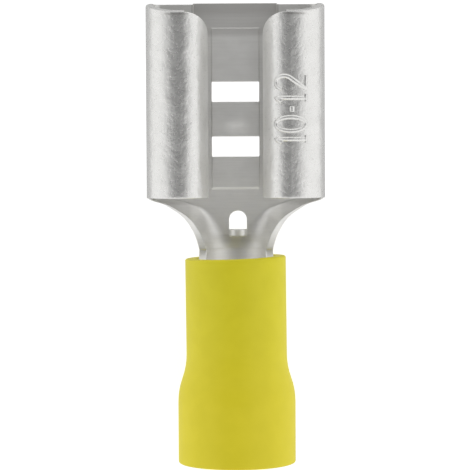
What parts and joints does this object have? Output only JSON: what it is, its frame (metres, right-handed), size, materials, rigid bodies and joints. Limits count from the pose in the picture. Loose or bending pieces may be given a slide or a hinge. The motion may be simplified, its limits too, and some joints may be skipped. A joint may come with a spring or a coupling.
{
  "type": "female spade terminal",
  "caption": "Insulated push-on receptacle with rolled ears, a flared neck, a wire barrel and a moulded sleeve with a bell for the wire's covering.",
  "frame": {"origin": "on the wire barrel's axis, at the barrel's wire end", "axes": "+Y along the terminal to its mouth, +X across it, +Z out of the open side between the ears"},
  "size_m": [0.011, 0.0283, 0.0072],
  "materials": {
    "tinned_brass": "satin tin plating",
    "yellow_vinyl": "fine matt"
  },
  "bodies": {
    "root": {"terminal_body": "tinned_brass", "insulating_sleeve": "yellow_vinyl"}
  },
  "joints": []
}
